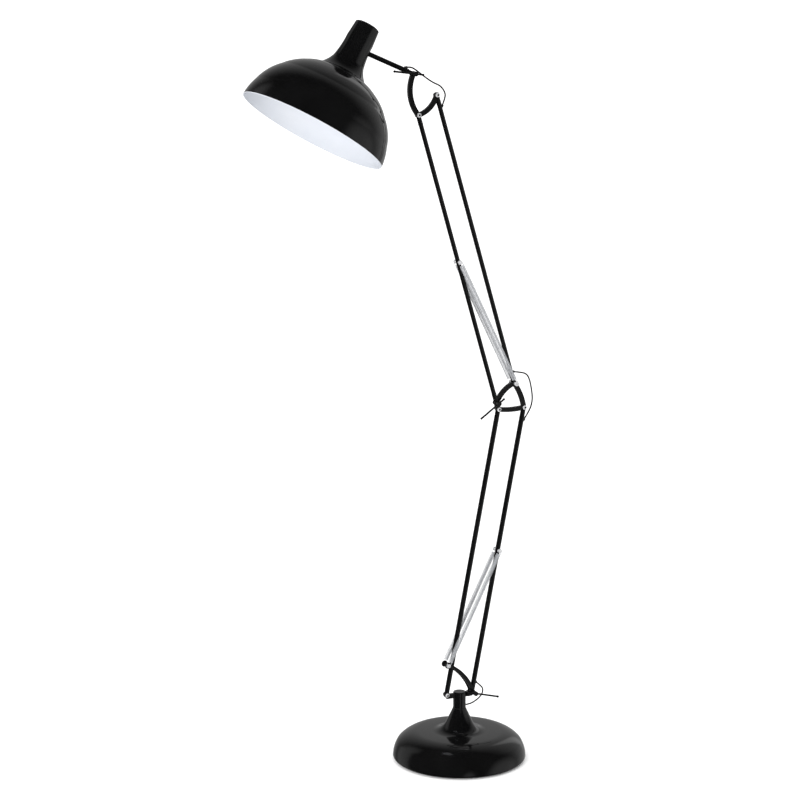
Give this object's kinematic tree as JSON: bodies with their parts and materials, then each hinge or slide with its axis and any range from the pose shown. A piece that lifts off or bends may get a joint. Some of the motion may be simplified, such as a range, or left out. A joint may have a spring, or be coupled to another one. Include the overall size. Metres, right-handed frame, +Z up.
{
  "type": "adjustable arm floor lamp",
  "caption": "Tall floor lamp with two sprung parallel-link arms on a swivelling weighted round base, a flared metal shade on a tilting rod, and clamp screws with sliding bars.",
  "frame": {"origin": "middle of the base's underside, on the floor", "axes": "+Z up, the arms fold in the XZ plane, the shade is on the -X side, +Y is away from the viewer's side with the bolt heads"},
  "size_m": [0.7735, 0.376, 1.9008],
  "materials": {
    "black_paint": "gloss",
    "bright_steel": "polished",
    "spring_wire": "bright drawn wire",
    "plain_steel": "zinc plated",
    "ballast_iron": "rough cast",
    "black_plastic": "satin moulded",
    "black_rubber": "matte",
    "black_flex": "smooth sheath",
    "bulb_cap_metal": "rolled thread",
    "bulb_white_glass": "opal"
  },
  "bodies": {
    "base": {"base_shell": "black_paint", "base_pad": "black_rubber", "base_plate": "plain_steel", "base_weight": "ballast_iron", "base_screws": "plain_steel", "neck_bush": "black_plastic", "cable_gland": "black_plastic"},
    "swivel": {"swivel_spindle": "plain_steel", "spindle_nut": "plain_steel", "lower_bracket": "black_paint", "spring_arm_plates": "black_paint", "spring_arm_pins": "bright_steel"},
    "lower_right": {"lower_right_tube": "black_paint", "lower_right_forks": "black_paint", "lower_right_bolt": "bright_steel", "lower_right_nut": "black_paint", "lower_grommets": "black_rubber", "lower_spring_pin": "bright_steel", "flex_lower": "black_flex", "flex_base_loop": "black_flex", "lower_springs": "spring_wire"},
    "lower_left": {"lower_left_tube": "black_paint", "lower_left_forks": "black_paint", "lower_left_bolts": "bright_steel", "lower_left_nuts": "black_paint"},
    "elbow": {"elbow_bracket": "black_paint", "elbow_spring_pin": "bright_steel", "flex_elbow_loop": "black_flex"},
    "upper_right": {"upper_right_tube": "black_paint", "upper_right_forks": "black_paint", "upper_right_bolt": "bright_steel", "upper_right_nut": "black_paint", "upper_grommets": "black_rubber", "flex_upper": "black_flex"},
    "upper_left": {"upper_left_tube": "black_paint", "upper_left_forks": "black_paint", "upper_left_bolt": "bright_steel", "upper_left_nut": "black_paint", "upper_spring_pin": "bright_steel", "upper_springs": "spring_wire"},
    "head_bracket": {"head_bracket": "black_paint", "flex_head_loop": "black_flex"},
    "head": {"head_rod": "black_paint", "rod_grommet": "black_rubber", "rod_nut": "plain_steel", "shade": "black_paint", "shade_neck": "black_paint", "neck_cap": "black_plastic", "lamp_holder": "black_plastic", "holder_ring": "black_plastic", "bulb_cap": "bulb_cap_metal", "bulb_glass": "bulb_white_glass", "flex_head": "black_flex"},
    "switch": {"switch_button": "black_plastic"},
    "base_clamp": {"base_clamp_screw": "black_paint"},
    "elbow_clamp": {"elbow_clamp_screw": "black_paint"},
    "head_clamp": {"head_clamp_screw": "black_paint"},
    "base_tommy": {"base_clamp_bar": "black_paint"},
    "elbow_tommy": {"elbow_clamp_bar": "black_paint"},
    "head_tommy": {"head_clamp_bar": "black_paint"}
  },
  "joints": [
    {"name": "swivel", "type": "hinge", "parent": "base", "child": "swivel", "pos_m": [0, 0, 0.136], "axis": [0, 0, 1], "range_deg": [-170, 170]},
    {"name": "lower_arm", "type": "hinge", "parent": "swivel", "child": "lower_right", "pos_m": [0.036, 0, 0.175], "axis": [0, 1, 0], "range_deg": [-12, 35], "deforming": ["lower_springs", "flex_base_loop"]},
    {"name": "lower_left_pivot", "type": "hinge", "parent": "swivel", "child": "lower_left", "pos_m": [-0.038, 0, 0.175], "axis": [0, 1, 0], "range_deg": [-12, 35]},
    {"name": "elbow_level", "type": "hinge", "parent": "lower_right", "child": "elbow", "pos_m": [0.18081, 0, 0.91721], "axis": [0, 1, 0], "range_deg": [-35, 12]},
    {"name": "upper_arm", "type": "hinge", "parent": "elbow", "child": "upper_right", "pos_m": [0.15181, 0, 0.98241], "axis": [0, 1, 0], "range_deg": [-62, 12], "deforming": ["upper_springs", "flex_elbow_loop", "flex_head_loop"]},
    {"name": "upper_left_pivot", "type": "hinge", "parent": "elbow", "child": "upper_left", "pos_m": [0.10161, 0, 0.93401], "axis": [0, 1, 0], "range_deg": [-62, 12]},
    {"name": "head_level", "type": "hinge", "parent": "upper_right", "child": "head_bracket", "pos_m": [-0.07122, 0, 1.71741], "axis": [0, 1, 0], "range_deg": [-12, 62]},
    {"name": "head_tilt", "type": "hinge", "parent": "head_bracket", "child": "head", "pos_m": [-0.13502, 0, 1.76951], "axis": [0, 1, 0], "range_deg": [-25, 45]},
    {"name": "switch_press", "type": "slide", "parent": "head", "child": "switch", "axis": [-0.5075, 0, -0.8616], "range_m": [0, 0.002], "stiffness_N_per_m": 400, "springref_m": -0.0005},
    {"name": "base_clamp_turn", "type": "hinge", "parent": "swivel", "child": "base_clamp", "pos_m": [0.036, 0, 0.175], "axis": [0, 1, 0], "range_deg": [-45, 45]},
    {"name": "elbow_clamp_turn", "type": "hinge", "parent": "elbow", "child": "elbow_clamp", "pos_m": [0.10161, 0, 0.93401], "axis": [0, 1, 0], "range_deg": [-60, 60]},
    {"name": "head_clamp_turn", "type": "hinge", "parent": "head_bracket", "child": "head_clamp", "pos_m": [-0.13502, 0, 1.76951], "axis": [0, 1, 0], "range_deg": [-60, 60]},
    {"name": "base_clamp_slide", "type": "slide", "parent": "base_clamp", "child": "base_tommy", "axis": [0.9672, 0, -0.2541], "range_m": [-0.0584, 0]},
    {"name": "elbow_clamp_slide", "type": "slide", "parent": "elbow_clamp", "child": "elbow_tommy", "axis": [0.8173, 0, 0.5762], "range_m": [-0.0082, 0.0502]},
    {"name": "head_clamp_slide", "type": "slide", "parent": "head_clamp", "child": "head_tommy", "axis": [-0.9936, 0, 0.1132], "range_m": [-0.0472, 0.0112]}
  ],
  "couplings": [
    {"joint": "lower_left_pivot", "follows": "lower_arm", "ratio": 1},
    {"joint": "elbow_level", "follows": "lower_arm", "ratio": -1},
    {"joint": "upper_left_pivot", "follows": "upper_arm", "ratio": 1},
    {"joint": "head_level", "follows": "upper_arm", "ratio": -1}
  ]
}
